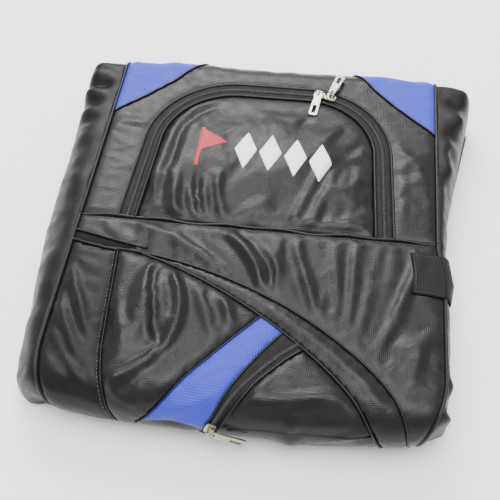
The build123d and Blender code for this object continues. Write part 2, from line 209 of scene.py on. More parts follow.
LINE_HEM = straight((X_LEFT, HEM), (X_RIGHT, HEM))
LINE_REAR = straight((X_LEFT, REAR), (X_RIGHT, REAR))
LINE_SIDE = straight((X_LEFT, SLIT), (X_LEFT, CUT))
LINE_UPPER = curve((-136, SLIT), (-20, SLIT), (155, -125), (X_RIGHT - 3, CUT))
LINE_LOWER = curve((-101, SLIT - 3), (0, -80), (130, -170), (X_RIGHT - 25, CUT))
LINE_SLIT_TOP = curve((X_LEFT + 2, SLIT + 17), (-145, SLIT + 12), (-120, SLIT + 6), (-96, SLIT + 3))
LINE_SLIT_BOTTOM = curve((X_LEFT + 2, SLIT + 6), (-155, SLIT + 1), (-140, SLIT), (-123, SLIT - 2))
LINE_STRIP = curve((-123, SLIT - 2), (-117, -130), (-114, -185), (-99, CUT))
LINE_BAND_LEFT = curve(at_x(LINE_LOWER, BAND_LEFT_X), (-15, -142), (-50, -190), (-84, BAND_FOOT))
LINE_BAND_RIGHT = curve(at_x(LINE_LOWER, BAND_RIGHT_X), (15, -150), (-5, -185), (-21, BAND_FOOT))
LINE_BAND_FOOT = curve(LINE_BAND_RIGHT[-1], (-35, BAND_FOOT + 17), (-65, BAND_FOOT + 13), LINE_BAND_LEFT[-1])

# The diagonal zip comes down the face and passes under its slider on the front fold.
SLIDER_LOW, SLIDER_HIGH = box_mm("diagonal_slider")
SLIDER = (SLIDER_LOW + SLIDER_HIGH) / 2
SLIDER_TURN = math.atan2(FOLD - SLIDER[1], SLIDER[2] - ROLL_Z)
SLIDER_POINT = np.array((SLIDER[0], FOLD - ROLL * SLIDER_TURN))
ZIP_SLOPE = np.array((math.sin(ZIP_ANGLE), math.cos(ZIP_ANGLE)))
ZIP_TAIL = SLIDER_POINT - ZIP_SLOPE * (SLIDER_POINT[1] - CUT) / ZIP_SLOPE[1]
LINE_ZIP = np.vstack([curve((54, -131), (30, -148), SLIDER_POINT + 28 * ZIP_SLOPE, SLIDER_POINT)[:-1],
                      straight(SLIDER_POINT, ZIP_TAIL)])
SEAMS = [LINE_UPPER, LINE_LOWER, LINE_BAND_LEFT, LINE_BAND_RIGHT, LINE_ZIP, LINE_STRIP, LINE_HEM,
         arch(-PIPING_GAP), arch(PIPING_GAP), arch(0)]


# ------------------------------------------------------------------ folds of the slack cloth
def fan(start_seam, starts, end_seam, ends, heights, width, reach=(0.05, 0.9), bow=0.0):
    """Folds spread evenly from one seam towards another; a valley has a negative height."""
    folds = []
    for k, height in enumerate(heights):
        share = k / max(1, len(heights) - 1)
        a = along(start_seam, starts[0] + share * (starts[1] - starts[0]))
        b = along(end_seam, ends[0] + share * (ends[1] - ends[0]))
        first, last = a + (b - a) * reach[0], a + (b - a) * reach[1]
        side = np.array((first[1] - last[1], last[0] - first[0]))
        handle = side / np.linalg.norm(side) * bow * 4 / 3
        folds.append((curve(first, first * 0.75 + last * 0.25 + handle,
                            first * 0.25 + last * 0.75 + handle, last), width, height))
    return folds


def echo(seam, offset, first, last, height, width):
    """One fold that runs beside a seam."""
    return [(shift(part(seam, first, last), offset), width, height)]


POCKET_EDGE = arch(-PIPING_GAP)
FOLDS = (
    # upper pocket: beside the left shoulder, up from the hem, and under the top of the zip
    echo(POCKET_EDGE, -8, 0.05, 0.40, 5.5, 7.0)
    + echo(POCKET_EDGE, -19, 0.05, 0.36, -2.2, 4.0)
    + echo(POCKET_EDGE, -31, 0.04, 0.30, 3.6, 6.5)
    + fan(LINE_HEM, (0.28, 0.42), POCKET_EDGE, (0.31, 0.34), (3.0, -5.5, 2.6), 5.5, (0.03, 0.33), 3)
    + fan(LINE_HEM, (0.59, 0.75), POCKET_EDGE, (0.68, 0.73), (2.6, -1.8, 1.4), 5.0, (0.02, 0.58))
    + fan(POCKET_EDGE, (0.40, 0.40), POCKET_EDGE, (0.66, 0.66), (2.8,), 5.0, (0.10, 0.95), -24)
    + fan(POCKET_EDGE, (0.60, 0.74), LINE_HEM, (0.45, 0.60), (-2.4, 2.6, -1.8), 5.0, (0.07, 0.28))
    # just above the hem
    + echo(LINE_HEM, 9, 0.18, 0.31, 2.4, 6.0)
    + echo(LINE_HEM, 11, 0.44, 0.56, -2.6, 7.0)
    + echo(LINE_HEM, 10, 0.61, 0.82, 2.8, 5.0)
    # between the hem and the curved gusset
    + fan(LINE_HEM, (0.02, 0.02), LINE_UPPER, (0.33, 0.33), (3.4,), 7.0, (0.02, 0.95), 14)
    + fan(LINE_HEM, (0.33, 0.38), LINE_UPPER, (0.43, 0.45), (4.6, -4.6), 6.5, (0.05, 0.85), 17)
    + fan(LINE_HEM, (0.60, 0.96), LINE_UPPER, (0.56, 0.70), (3.0, -2.0, 2.0, -2.2, 3.4), 6.0, (0.08, 0.85))
    + fan(LINE_UPPER, (0.74, 0.81), LINE_HEM, (0.91, 0.98), (-2.4, 3.0), 8.0, (0.08, 0.45))
    # curved gusset
    + echo(LINE_UPPER, -6, 0.44, 0.76, -2.4, 4.5)
    + echo(LINE_UPPER, -13, 0.42, 0.78, 2.0, 4.0)
    # strip beside the left pocket
    + fan(LINE_SIDE, (0.02, 0.38), LINE_STRIP, (0.68, 0.86), (3.2, -2.4, 2.8, 2.6), 4.2, (0.12, 0.62))
    # left pocket: a deep valley, a ridge that hooks round its foot, and smaller ones beside them
    + fan(LINE_LOWER, (0.05, 0.05), LINE_BAND_LEFT, (0.75, 0.75), (-6.0,), 7.0, (0.03, 0.65))
    + fan(LINE_LOWER, (0.10, 0.10), LINE_STRIP, (0.68, 0.68), (5.6,), 5.0, (0.04, 0.95), 36)
    + fan(LINE_STRIP, (0.15, 0.60), LINE_BAND_LEFT, (0.90, 0.95), (3.4, 3.0), 7.0, (0.15, 0.60))
    + fan(LINE_LOWER, (0.21, 0.25), LINE_BAND_LEFT, (0.30, 0.18), (-2.2, 3.2), 4.8, (0.06, 0.80))
    # blue band and lower right pocket
    + fan(LINE_BAND_RIGHT, (0.30, 0.60), LINE_BAND_LEFT, (0.80, 0.95), (-2.4, 2.6), 5.0, (0.15, 0.75))
    + echo(LINE_ZIP, 13, 0.22, 0.58, 1.8, 5.0)
    + fan(LINE_ZIP, (0.55, 0.72), LINE_LOWER, (0.72, 0.84), (2.4, -2.4), 7.0, (0.15, 0.90))
    # panels beside the upper pocket, and the rear fold
    + fan(LINE_HEM, (0.06, 0.06), LINE_REAR, (0.13, 0.13), (1.6,), 10.0, (0.35, 0.70))
    + fan(LINE_HEM, (0.90, 0.96), LINE_REAR, (0.90, 0.96), (2.2, -1.2), 6.5, (0.10, 0.60))
    + echo(LINE_REAR, 0, 0.40, 0.70, 1.8, 9.0)
)


# ------------------------------------------------------------------ slack of the cloth
def fold_height(points):
    """Height of the folds at pattern points."""
    height = np.zeros(len(points))
    for path, width, amount in FOLDS:
        gap = distance_to(points, path)
        ends = np.minimum(np.hypot(*(points - path[0]).T), np.hypot(*(points - path[-1]).T))
        taper = 0.35 + 0.65 * np.clip(ends / (2.2 * width), 0, 1)
        height += FOLD_STRENGTH * amount * taper * np.exp(-(gap / width) ** 2)
    return height


def ripple(points, size, seed):
    """Smooth random height of about one unit."""
    return np.array([noise.noise(Vector((p[0] / size, p[1] / size, seed))) for p in points])


def seam_hold(points):
    """0 on a seam, rising to 1 a little way from it."""
    gap = np.full(len(points), 1e9)
    for line in SEAMS:
        gap = np.minimum(gap, distance_to(points, line))
    edge = np.minimum(points[:, 0] - X_LEFT, X_RIGHT - points[:, 0])
    gap = np.minimum(gap, np.abs(edge))
    return 1 - np.exp(-(gap / 7.0) ** 2)


GRID_X = np.arange(X_LEFT - 2, X_RIGHT + 2 + GRID, GRID)
GRID_S = np.arange(FRONT_END - 4, REAR_END + 4 + GRID, GRID)


def slack_field():
    """Where the loose cloth goes: an array of (dx, ds, dh) over the pattern grid."""
    gx, gs = np.meshgrid(GRID_X, GRID_S, indexing="ij")
    points = np.column_stack([gx.ravel(), gs.ravel()])
    hold = seam_hold(points)
    start = fold_height(points) * hold
    start += (0.9 * ripple(points, 26.0, 3.1) + 0.5 * ripple(points, 13.0, 8.4)) * hold
    field = np.zeros((len(points), 3))
    field[:, 2] = start
    field = settle(points, start, hold)
    x, s = points.T
    near_zip = np.clip((56 - distance_to(points, arch(0))) / 28, 0, 1)
    under_pulls = near_zip * np.clip((x + 80) / 40, 0, 1) * np.clip((s - ARCH_TOP + 80) / 40, 0, 1)
    under_low_pull = np.clip((x + 40) / 25, 0, 1) * np.clip((60 - x) / 25, 0, 1) * np.clip(
        (FOLD - 10 - s) / 20, 0, 1)
    for calm, limit in ((under_pulls, 1.2), (under_low_pull, 0.5)):
        field[:, 2] += calm * (limit * np.tanh(field[:, 2] / limit) - field[:, 2])
    return field.reshape(len(GRID_X), len(GRID_S), 3)


# A negative shrink makes the cloth a little larger than the face it is sewn to.
NYLON = {"quality": 5, "mass": 0.25, "tension_stiffness": 12, "compression_stiffness": 12,
         "shear_stiffness": 6, "bending_stiffness": 0.25, "tension_damping": 8, "compression_damping": 8,
         "shear_damping": 8, "bending_damping": 0.8, "air_damping": 3, "vertex_group_mass": "pins",
         "pin_stiffness": 1.0, "shrink_min": -0.007}


def settle(points, start, hold):
    """Cloth simulation of the whole face: it is a little too large for its seams and lies down in folds."""
    columns, rows = len(GRID_X), len(GRID_S)
    verts = [(p[0] * SIM_SCALE, p[1] * SIM_SCALE, z * SIM_SCALE) for p, z in zip(points, start)]
    faces = []
    for i in range(columns - 1):
        for j in range(rows - 1):
            a = i * rows + j
            faces.append((a, a + rows, a + rows + 1, a + 1))
    mesh = bpy.data.meshes.new("settle")
    mesh.from_pydata(verts, [], faces)
    cloth = bpy.data.objects.new("settle", mesh)
    bpy.context.scene.collection.objects.link(cloth)
    pins = cloth.vertex_groups.new(name="pins")
    for i, h in enumerate(hold):
        pins.add([i], 1.0 if h < 0.12 else 0.0, "REPLACE")
    modifier = cloth.modifiers.new("Cloth", "CLOTH")
    for key, value in NYLON.items():
        setattr(modifier.settings, key, value)
    modifier.settings.effector_weights.gravity = 0.1
    modifier.collision_settings.use_collision = True
    modifier.collision_settings.distance_min = 0.006
    modifier.point_cache.frame_start = 1
    modifier.point_cache.frame_end = SIM_FRAMES
    bpy.ops.mesh.primitive_plane_add(size=20, location=(0, 0, SIM_GROUND))
    ground = bpy.context.object
    ground.modifiers.new("Collision", "COLLISION")
    scene = bpy.context.scene
    for number in range(1, SIM_FRAMES + 1):
        scene.frame_set(number)
    evaluated = cloth.evaluated_get(bpy.context.evaluated_depsgraph_get())
    result = np.zeros(len(points) * 3)
    evaluated.data.vertices.foreach_get("co", result)
    result = result.reshape(-1, 3) / SIM_SCALE
    field = result - np.column_stack([points, np.zeros(len(points))])
    field = np.clip(field, (-3, -3, -2.5), (3, 3, 9.0))
    bpy.data.objects.remove(cloth)
    bpy.data.objects.remove(ground)
    scene.frame_set(1)
    return field


SLACK = slack_field()


def slack_at(x, s):
    """The slack at any pattern point, by interpolation."""
    u = np.clip((x - GRID_X[0]) / GRID, 0, len(GRID_X) - 1.001)
    v = np.clip((s - GRID_S[0]) / GRID, 0, len(GRID_S) - 1.001)
    i, j = u.astype(int), v.astype(int)
    fu, fv = (u - i)[:, None], (v - j)[:, None]
    return ((SLACK[i, j] * (1 - fu) + SLACK[i + 1, j] * fu) * (1 - fv)
            + (SLACK[i, j + 1] * (1 - fu) + SLACK[i + 1, j + 1] * fu) * fv)


def roll_map(x, s, h):
    """Pattern coordinates to millimetres in the frame, without slack."""
    narrowing = np.clip((FOLD + 25 - s) / 90, 0, 1)
    narrowing = narrowing ** 2 * (3 - 2 * narrowing)
    spread = np.clip((HEM - 6 - s) / 30, 0, 1) * np.clip((x - X_MIDDLE - 70) / 102, 0, 1) ** 2
    from_middle = np.clip(np.abs(x - X_MIDDLE) / (X_RIGHT - X_MIDDLE), 0, 1.1)
    x = X_MIDDLE + (x - X_MIDDLE) * (1 - 0.075 * narrowing) + SEAM_SPREAD * spread * (1 - narrowing)
    y = np.array(s, float)
    z = FACE + h
    front = s < FOLD
    turn = np.clip((FOLD - s) / ROLL, 0, math.pi)
    y = np.where(front, FOLD - (ROLL + h) * np.sin(turn), y)
    z = np.where(front, ROLL_Z + (ROLL + h) * np.cos(turn), z)
    rear = s > REAR
    back = np.clip((s - REAR) / REAR_ROLL, 0, math.pi)
    y = np.where(rear, REAR + (REAR_ROLL + h) * np.sin(back), y)
    z = np.where(rear, REAR_ROLL_Z + (REAR_ROLL + h) * np.cos(back), z)
    y = y + CORNER_RETREAT * narrowing * from_middle ** 3
    return np.column_stack([x, y, z])


def place(x, s, h):
    """Pattern coordinates to metres in the frame, on the slack cloth."""
    x, s = np.asarray(x, float), np.asarray(s, float)
    h = np.broadcast_to(np.asarray(h, float), x.shape)
    d = slack_at(x, s)
    off_ground = np.clip((s - CUT) / 30, 0, 1)
    points = roll_map(x + d[:, 0], s + d[:, 1] * off_ground, h + d[:, 2] * off_ground)
    points[:, 2] = np.maximum(points[:, 2], 0.1 + 0.2 * np.clip(h, 0, 2))
    return points * MM


# ------------------------------------------------------------------ mesh makers
def add_mesh(name, verts, faces, material, uvs=None):
    mesh = bpy.data.meshes.new(name)
    mesh.from_pydata([tuple(v) for v in verts], [], faces)
    mesh.polygons.foreach_set("use_smooth", [True] * len(mesh.polygons))
    if uvs is not None:
        layer = mesh.uv_layers.new(name="pattern")
        loops = np.zeros(len(mesh.loops), int)
        mesh.loops.foreach_get("vertex_index", loops)
        layer.data.foreach_set("uv", np.asarray(uvs, float)[loops].ravel())
    mesh.materials.append(material)
    piece = bpy.data.objects.new(name, mesh)
    bpy.context.scene.collection.objects.link(piece)
    return piece


def is_inside(points, outline):
    x, y = points[:, 0], points[:, 1]
    result = np.zeros(len(points), bool)
    ends = np.roll(outline, -1, axis=0)
    for (x0, y0), (x1, y1) in zip(outline, ends):
        if y0 == y1:
            continue
        crosses = ((y0 > y) != (y1 > y)) & (x < (x1 - x0) * (y - y0) / (y1 - y0) + x0)
        result ^= crosses
    return result


def fill(outline, cell=CELL):
    """Triangles over a closed outline: (points, triangles, number of outline points)."""
    low, high = outline.min(0), outline.max(0)
    rows = np.arange(low[1], high[1], cell * 0.866)
    inner = []
    for index, y in enumerate(rows):
        xs = np.arange(low[0] + (index % 2) * cell / 2, high[0], cell)
        inner.append(np.column_stack([xs, np.full(len(xs), y)]))
    inner = np.vstack(inner)
    inner = inner[is_inside(inner, outline)]
    loop = np.vstack([outline, outline[:1]])
    inner = inner[distance_to(inner, loop) > cell * 0.55]
    points = np.vstack([outline, inner])
    count = len(outline)
    edges = [(i, (i + 1) % count) for i in range(count)]
    done = delaunay_2d_cdt([Vector(p) for p in points], edges, [], 1, 1e-5)
    return np.array([tuple(v) for v in done[0]]), [tuple(f) for f in done[2]]


def ring_outline(*lines, step=3.0):
    """One closed outline out of several lines, end to end."""
    points = np.vstack(lines)
    keep = [points[0]]
    for p in points[1:]:
        if np.linalg.norm(p - keep[-1]) > 0.4:
            keep.append(p)
    if np.linalg.norm(keep[0] - keep[-1]) < 0.4:
        keep.pop()
    loop = np.array(keep + [keep[0]])
    return resample(loop, step)[:-1]


def boundary_of(triangles):
    seen = {}
    for t in triangles:
        for a, b in zip(t, t[1:] + t[:1]):
            seen[(a, b)] = True
    return [(a, b) for a, b in seen if (b, a) not in seen]


def flat_area(outline):
    x, y = outline.T
    return abs(np.dot(x, np.roll(y, -1)) - np.dot(y, np.roll(x, -1))) / 2


def panel(name, outline, material, lift=0.0, crown=0.0, edge=6.0, cell=CELL, thickness=CLOTH,
          sink=SINK, body="top_section", replaces=(), slot=None, bends=False, held="stretched",
          declare=True):
    """A cloth panel on the face: closed, thin, crowned between its seams."""
    points, triangles = fill(outline, cell)
    loop = np.vstack([outline, outline[:1]])
    gap = distance_to(points, loop)
    rise = 1 - np.exp(-(gap / edge) ** 1.5)
    puff = crown * np.clip((points[:, 1] - FOLD + 40) / 40, 0.1, 1)
    height = lift - sink * np.exp(-gap / 2.0) + puff * rise
    top = place(points[:, 0], points[:, 1], height)
    bottom = place(points[:, 0], points[:, 1], height - thickness)
    count = len(points)
    faces = list(triangles) + [tuple(i + count for i in reversed(t)) for t in triangles]
    faces += [(b, a, a + count, b + count) for a, b in boundary_of(triangles)]
    uvs = np.vstack([points, points]) / 100.0
    piece = add_mesh(name, np.vstack([top, bottom]), faces, material, uvs)
    finish_piece(piece, body, replaces, bends)
    if declare:
        declare_sheet(outline)
    return piece


def declare_sheet(outline):
    """The cut's size: the outline's own box, or for a curved strip its true width and length."""
    size = outline.max(0) - outline.min(0)
    area = flat_area(outline)
    if area < 0.4 * size[0] * size[1]:
        edge = np.linalg.norm(np.roll(outline, -1, axis=0) - outline, axis=1).sum() / 2
        width = (edge - math.sqrt(max(edge * edge - 4 * area, 0))) / 2
        size = np.array([width, area / width])


def finish_piece(piece, body, replaces=(), bends=False):
    if bends:
        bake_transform(piece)
    else:
        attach(piece, body)
    if replaces:
        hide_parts(*replaces)


def frames_on(path, lift):
    """Points, tangents and outward normals of a pattern line lifted off the face."""
    centre = place(path[:, 0], path[:, 1], lift)
    above = place(path[:, 0], path[:, 1], lift + 1.0)
    tangent = np.gradient(centre, axis=0)
    tangent /= np.linalg.norm(tangent, axis=1)[:, None]
    normal = above - centre
    normal -= tangent * np.sum(normal * tangent, axis=1)[:, None]
    normal /= np.linalg.norm(normal, axis=1)[:, None]
    return centre, tangent, normal


def tube_mesh(centre, tangent, normal, radius, sides=10, closed=False):
    """A round tube along a path, closed into a ring or capped at both ends."""
    side = np.cross(tangent, normal)
    verts, faces = [], []
    count = len(centre)
    for k in range(sides):
        a = 2 * math.pi * k / sides
        verts.append(centre + radius * MM * (math.cos(a) * side + math.sin(a) * normal))
    verts = np.stack(verts, axis=1).reshape(-1, 3)
    last = count if closed else count - 1
    for i in range(last):
        for k in range(sides):
            a, b = i * sides + k, i * sides + (k + 1) % sides
            c, d = ((i + 1) % count) * sides + (k + 1) % sides, ((i + 1) % count) * sides + k
            faces.append((a, d, c, b))
    if not closed:
        faces.append(tuple(range(sides)))
        faces.append(tuple((count - 1) * sides + k for k in reversed(range(sides))))
    return verts, faces


def piping(name, line, material, radius=1.7, lift=1.2, body="top_section", replaces=(),
           bends=False):
    """Covered cord sewn along a seam."""
    path = resample(line, 2.5)
    centre, tangent, normal = frames_on(path, lift)
    verts, faces = tube_mesh(centre, tangent, normal, radius)
    lengthwise = np.repeat(np.arange(len(path)) * 2.5, 10)
    around = np.tile(np.arange(10) * radius * 0.6, len(path))
    uvs = np.column_stack([around, lengthwise]) / 100
    piece = add_mesh(name, verts, faces, material, uvs)
    finish_piece(piece, body, replaces, bends)
    return piece


def blocks(name, line, material, pitch, long, wide, tall, lift, body="top_section", replaces=(),
           slot=None, bends=False, offset=0.0):
    """Many small rounded bars along a line: stitches, or the teeth of a coil zip."""
    path = resample(shift(resample(line, 2.0), offset) if offset else line, pitch)
    centre, tangent, normal = frames_on(path, lift)
    side = np.cross(tangent, normal)
    verts, faces = [], []
    ring = [(-0.5, 0), (-0.32, 0.75), (0, 1), (0.32, 0.75), (0.5, 0)]
    for c, t, n, w in zip(centre, tangent, normal, side):
        first = len(verts)
        for u, up in ring:
            for v in (-0.5, 0.5):
                verts.append(c + (t * u * long + w * v * wide + n * up * tall) * MM)
        for k in range(len(ring) - 1):
            a = first + 2 * k
            faces.append((a, a + 1, a + 3, a + 2))
        faces.append((first, first + 2, first + 4, first + 6, first + 8))
        faces.append((first + 9, first + 7, first + 5, first + 3, first + 1))
        faces.append((first, first + 8, first + 9, first + 1))
    piece = add_mesh(name, verts, faces, material)
    finish_piece(piece, body, replaces, bends)
    return piece


# ------------------------------------------------------------------ materials
def new_material(name, color, roughness, metallic=0.0, sheen=0.0, specular=0.5):
    material = bpy.data.materials.new(name)
    material.use_nodes = True
    shader = material.node_tree.nodes["Principled BSDF"]
    shader.inputs["Base Color"].default_value = (*color, 1)
    shader.inputs["Roughness"].default_value = roughness
    shader.inputs["Metallic"].default_value = metallic
    shader.inputs["Specular IOR Level"].default_value = specular
    shader.inputs["Sheen Weight"].default_value = sheen
    shader.inputs["Sheen Roughness"].default_value = 0.45
    return material, material.node_tree, shader


def connect(tree, value, socket):
    """A link from another socket, or a constant."""
    if isinstance(value, bpy.types.NodeSocket):
        tree.links.new(value, socket)
    else:
        socket.default_value = value


def node(tree, kind, **values):
    """A node with its inputs, by index (in_2) or by name (Height), and its settings in lower case."""
    made = tree.nodes.new(kind)
    for key, value in values.items():
        if key.startswith("in_"):
            connect(tree, value, made.inputs[int(key[3:])])
        elif key[0].isupper():
            connect(tree, value, made.inputs[key])
        else:
            setattr(made, key, value)
    return made


def math_node(tree, operation, *values):
    made = node(tree, "ShaderNodeMath", operation=operation)
    for socket, value in zip(made.inputs, values):
        connect(tree, value, socket)
    return made.outputs[0]


def clouds(tree, place_in, scale, detail, roughness=0.5):
    return node(tree, "ShaderNodeTexNoise", Vector=place_in, in_2=scale, in_3=detail,
                in_4=roughness).outputs[0]


def bumps(tree, height, strength, distance, **under):
    return node(tree, "ShaderNodeBump", in_0=strength, in_1=distance, Height=height, **under).outputs[0]


def mix_colors(tree, factor, dark, light):
    ramp = node(tree, "ShaderNodeValToRGB", in_0=factor)
    ramp.color_ramp.elements[0].color = (*dark, 1)
    ramp.color_ramp.elements[1].color = (*light, 1)
    return ramp.outputs[0]


def finish_material(tree, shader, color, normal, roughness=None):
    tree.links.new(color, shader.inputs["Base Color"])
    tree.links.new(normal, shader.inputs["Normal"])
    if roughness:
        tree.links.new(roughness, shader.inputs["Roughness"])


def rib(tree, source, axis, per_unit):
    """A row of threads: 0 to 1 across each one, along one pattern axis."""
    split = node(tree, "ShaderNodeSeparateXYZ", in_0=source)
    wave = math_node(tree, "SINE", math_node(tree, "MULTIPLY", split.outputs[axis], per_unit * 2 * math.pi))
    return math_node(tree, "MULTIPLY_ADD", wave, 0.5, 0.5)


def spread_over(tree, source, low, high):
    """The middle of a noise, spread over a range."""
    return node(tree, "ShaderNodeMapRange", in_0=source, in_1=0.3, in_2=0.7, in_3=low, in_4=high).outputs[0]


def woven(name, dark, light, roughness, threads=(70.0, 110.0), bump=0.25, sheen=0.25, specular=0.5,
          depth=0.00025, crease=0.35):
    """Woven cloth: two sets of threads, uneven dye, fine creases and a worn sheen."""
    material, tree, shader = new_material(name, light, roughness, sheen=sheen, specular=specular)
    uv = node(tree, "ShaderNodeTexCoord").outputs["UV"]
    warp = clouds(tree, uv, 9.0, 3.0)
    weave = math_node(tree, "MULTIPLY", rib(tree, uv, 0, threads[0]), rib(tree, uv, 1, threads[1]))
    tone = math_node(tree, "MULTIPLY_ADD", weave, 0.35, math_node(tree, "MULTIPLY_ADD", warp, 0.55, 0.1))
    height = math_node(tree, "MULTIPLY_ADD", clouds(tree, uv, 110.0, 1.0), 0.5, weave)
    fine = bumps(tree, height, bump, depth)
    broad = bumps(tree, clouds(tree, uv, 7.0, 2.5), crease, 0.0012, Normal=fine)
    finish_material(tree, shader, mix_colors(tree, tone, dark, light), broad,
                    spread_over(tree, warp, roughness - 0.08, roughness + 0.1))
    return material


def stitched_thread(name, dark, light, angle=0.0):
    """Satin stitch: long glossy threads side by side."""
    material, tree, shader = new_material(name, light, 0.42, sheen=0.3)
    uv = node(tree, "ShaderNodeTexCoord").outputs["UV"]
    turned = node(tree, "ShaderNodeMapping", Vector=uv, Rotation=(0, 0, angle)).outputs[0]
    threads = rib(tree, turned, 1, 130.0)
    wobble = math_node(tree, "MULTIPLY", clouds(tree, uv, 60.0, 2.0), 0.5)
    tone = math_node(tree, "MULTIPLY_ADD", threads, 0.6, wobble)
    finish_material(tree, shader, mix_colors(tree, tone, dark, light), bumps(tree, threads, 0.5, 0.0003))
    return material


def plated_metal(name, dark, light):
    """Nickel plate, its tone varying at random, and faintly scratched."""
    material, tree, shader = new_material(name, light, 0.24, metallic=1.0)
    place_in = node(tree, "ShaderNodeTexCoord").outputs["Object"]
    stretched = node(tree, "ShaderNodeMapping", Vector=place_in, Scale=(400, 3000, 400)).outputs[0]
    scratches = clouds(tree, stretched, 1.0, 3.0)
    finish_material(tree, shader, mix_colors(tree, clouds(tree, place_in, 180.0, 4.0), dark, light),
                    bumps(tree, scratches, 0.12, 0.0001), spread_over(tree, scratches, 0.16, 0.34))
    return material


def moulded(name, dark, light, roughness):
    """Moulded nylon with a faintly uneven surface."""
    material, tree, shader = new_material(name, light, roughness)
    cloud = clouds(tree, node(tree, "ShaderNodeTexCoord").outputs["Object"], 500.0, 2.0)
    finish_material(tree, shader, mix_colors(tree, cloud, dark, light), bumps(tree, cloud, 0.2, 0.0001))
    return material


BLACK = woven("black_nylon", (0.002, 0.002, 0.0018), (0.0085, 0.0085, 0.0074), 0.32, threads=(66.0, 60.0),
              sheen=0.01, bump=0.3, depth=0.0003, specular=0.22)
BLACK_DEEP = woven("black_nylon_inner", (0.003, 0.003, 0.003), (0.01, 0.01, 0.0095), 0.45, sheen=0.02,
                   specular=0.2)
BLACK_SIDE = woven("black_nylon_sides", (0.002, 0.002, 0.0018), (0.009, 0.009, 0.008), 0.38,
                   threads=(66.0, 60.0), sheen=0.0, bump=0.3, depth=0.0003, specular=0.15)
BLUE = woven("blue_nylon", (0.007, 0.012, 0.25), (0.033, 0.048, 0.53), 0.5, threads=(46.0, 50.0),
             bump=0.7, depth=0.0005, sheen=0.05, crease=0.2, specular=0.35)
# Lining darkened nearly to black: painted shade for the recess of the slit pocket's mouth. The hidden
# wadding uses the same material.
LINING_PAINTED_SHADE = woven("lining_cloth_painted_shade", (0.002, 0.002, 0.002), (0.006, 0.006, 0.006), 0.7, threads=(90.0, 90.0),
               sheen=0.0, specular=0.12)
PIPING = woven("piping_cloth", (0.002, 0.002, 0.002), (0.009, 0.009, 0.0085), 0.4, threads=(60.0, 60.0),
               sheen=0.0, specular=0.25)
TAPE = woven("zip_tape_knit", (0.002, 0.002, 0.002), (0.007, 0.007, 0.007), 0.62, threads=(140.0, 90.0),
             bump=0.6, crease=0.05, sheen=0.02, specular=0.2)
WEBBING = woven("ribbed_webbing", (0.002, 0.002, 0.002), (0.009, 0.009, 0.0085), 0.6, threads=(48.0, 30.0),
                bump=0.9, depth=0.0006, crease=0.05, sheen=0.0, specular=0.2)
# Black nylon coil drawn lighter than its tape: the lighter colour is a painted glint along the coil.
TEETH_WITH_PAINTED_GLINT = moulded("nylon_teeth_painted_glint", (0.01, 0.01, 0.01), (0.05, 0.05, 0.05), 0.28)
THREAD = stitched_thread("sewing_thread", (0.004, 0.004, 0.004), (0.02, 0.02, 0.02))
WHITE = stitched_thread("white_thread", (0.66, 0.66, 0.66), (1.0, 1.0, 0.99), 0.6)
RED = stitched_thread("red_thread", (0.20, 0.0, 0.002), (0.46, 0.001, 0.005), -0.5)
NICKEL = plated_metal("nickel_plate", (0.26, 0.225, 0.17), (0.52, 0.47, 0.38))

# ------------------------------------------------------------------ face of the bag
upper_outline = polygon(corners(X_LEFT, HEM, X_RIGHT, REAR_END), 3.0)
panel("front_upper_cloth", upper_outline, BLACK, replaces=("front_upper_panel", "rear_fold"),
      slot="black_nylon", held="folded")

lower_outline = polygon(corners(X_LEFT, FRONT_END, X_RIGHT, HEM), 3.0)
panel("front_lower_cloth", lower_outline, BLACK, lift=0.6, bends=True, slot="black_nylon", held="folded",
      replaces=("front_lower_panel", "front_fold_upper", "front_fold_lower", "hem_binding"))

for side, edge_x in (("left", X_LEFT), ("right", X_RIGHT)):
    inward = 1 if side == "left" else -1
    corner = (edge_x + inward * 1.5, REAR_END - 4)
    foot = (edge_x + inward * 1.5, REAR - INSERT + 4)
    sweep = curve(foot, (edge_x + inward * 50, REAR - 30), (edge_x + inward * 98, REAR + 20),
                  (edge_x + inward * 104, REAR_END - 4))
    outline = ring_outline(sweep, straight(sweep[-1], corner), straight(corner, foot))
    panel(f"blue_insert_{side}_cloth", outline, BLUE, lift=0.9, slot="blue_nylon",
          replaces=(f"blue_insert_{side}",), held="folded", thickness=0.5, edge=3)
    piping(f"blue_insert_{side}_seam", sweep, PIPING, radius=0.8, lift=1.1)

face_line = arch(-PIPING_GAP - 1.2)
pocket_outline = ring_outline(face_line, straight(face_line[-1], face_line[0]))
panel("upper_pocket_cloth", pocket_outline, BLACK, lift=0.8, crown=POCKET, edge=9,
      slot="black_nylon", replaces=("upper_pocket_face",))
tape_in, tape_out = arch(1 - PIPING_GAP), arch(PIPING_GAP - 1)
panel("upper_zip_tape_cloth", ring_outline(tape_out, tape_in[::-1]), TAPE, lift=1.0, thickness=0.4,
      slot="zip_tape", replaces=("upper_zip_inner_tape", "upper_zip_outer_tape"), cell=2.6, sink=0)
# The teeth's lighter colour paints the coil's glint.
blocks("upper_zip_coil_teeth", arch(0), TEETH_WITH_PAINTED_GLINT, pitch=1.5, long=1.15, wide=4.2, tall=1.1, lift=1.0,
       slot="zip_teeth", replaces=("upper_zip_coil",))
for edge, offset, lift in (("inner", -PIPING_GAP, 1.5), ("outer", PIPING_GAP, 1.0)):
    piping(f"upper_pocket_{edge}_piping", arch(offset), PIPING, radius=1.4, lift=lift,
           replaces=(f"upper_pocket_{edge}_cord",))
blocks("upper_pocket_outer_stitches", arch(PIPING_GAP + 4.0), THREAD, **STITCH, tall=0.4, lift=0.0,
       slot="black_nylon")

# ------------------------------------------------------------------ lower pockets
def lower_panel(name, outline, material, lift, replaces, slot="black_nylon", **shape):
    """A cloth panel that runs on round the front fold."""
    panel(name, outline, material, lift=lift, bends=True, slot=slot, replaces=(replaces,), held="folded",
          **shape)


